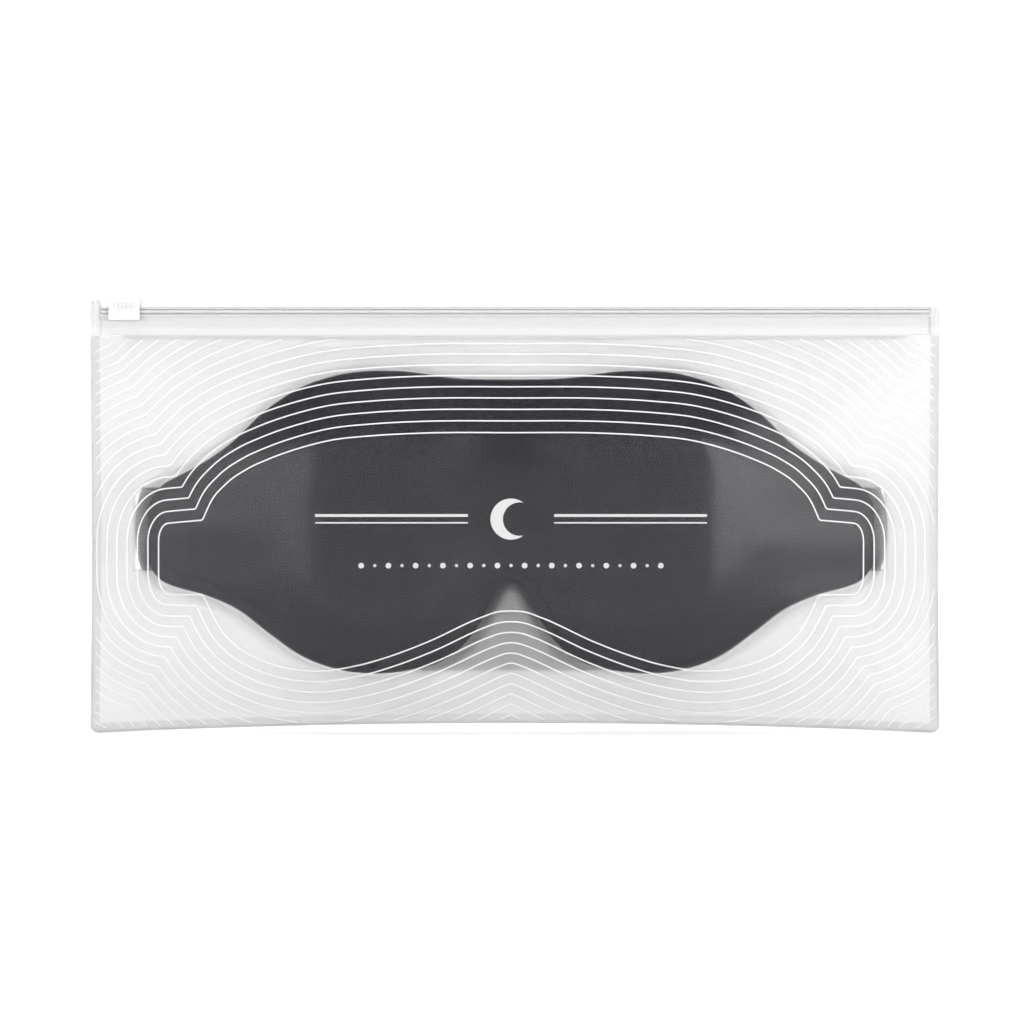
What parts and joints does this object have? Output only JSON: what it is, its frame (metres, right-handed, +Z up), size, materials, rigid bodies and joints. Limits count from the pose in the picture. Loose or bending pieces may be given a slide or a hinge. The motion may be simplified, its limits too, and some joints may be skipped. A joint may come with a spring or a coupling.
{
  "type": "sleep eye mask",
  "caption": "Contoured sleep eye mask with two eye cavities and an adjustable elastic strap, lying folded in a frosted slider-zip pouch.",
  "frame": {"origin": "middle of the pouch's bottom edge, halfway through its thickness", "axes": "+X along the pouch's width, to the right seen from the front; +Y from the front to the back; +Z up towards the zip"},
  "size_m": [0.258, 0.0214, 0.1319],
  "materials": {
    "frosted_film": "frosted, translucent, soft sheen",
    "zip_plastic": "translucent white, satin",
    "slider_plastic": "opaque white, moulded",
    "charcoal_fabric": "fine knit, matte charcoal",
    "moulded_foam": "moulded memory foam, matte",
    "lining_fabric": "brushed soft knit, matte",
    "elastic_webbing": "woven elastic, ribbed",
    "black_plastic": "moulded, satin black",
    "thread": "spun thread"
  },
  "bodies": {
    "pouch": {"pouch_front_film": "frosted_film", "pouch_back_film": "frosted_film", "zip_track_front": "zip_plastic", "zip_track_back": "zip_plastic"},
    "zip_slider": {"zip_slider": "slider_plastic"},
    "mask": {"mask_front_fabric": "charcoal_fabric", "mask_foam_core": "moulded_foam", "mask_lining": "lining_fabric", "strap_left": "elastic_webbing", "strap_right": "elastic_webbing", "strap_ring": "black_plastic", "tab_stitch_left": "thread", "tab_stitch_right": "thread", "loop_bartack": "thread"},
    "strap_slider": {"strap_slider": "black_plastic"}
  },
  "joints": [
    {"name": "zip_slide", "type": "slide", "parent": "pouch", "child": "zip_slider", "axis": [1, 0, 0], "range_m": [0, 0.237]},
    {"name": "mask_lift", "type": "slide", "parent": "pouch", "child": "mask", "axis": [0, 0, 1], "range_m": [0, 0.118], "deforming": ["pouch_front_film", "pouch_back_film", "zip_track_front", "zip_track_back"]},
    {"name": "strap_adjust", "type": "slide", "parent": "mask", "child": "strap_slider", "axis": [1, 0, 0], "range_m": [-0.015, 0.015]}
  ]
}
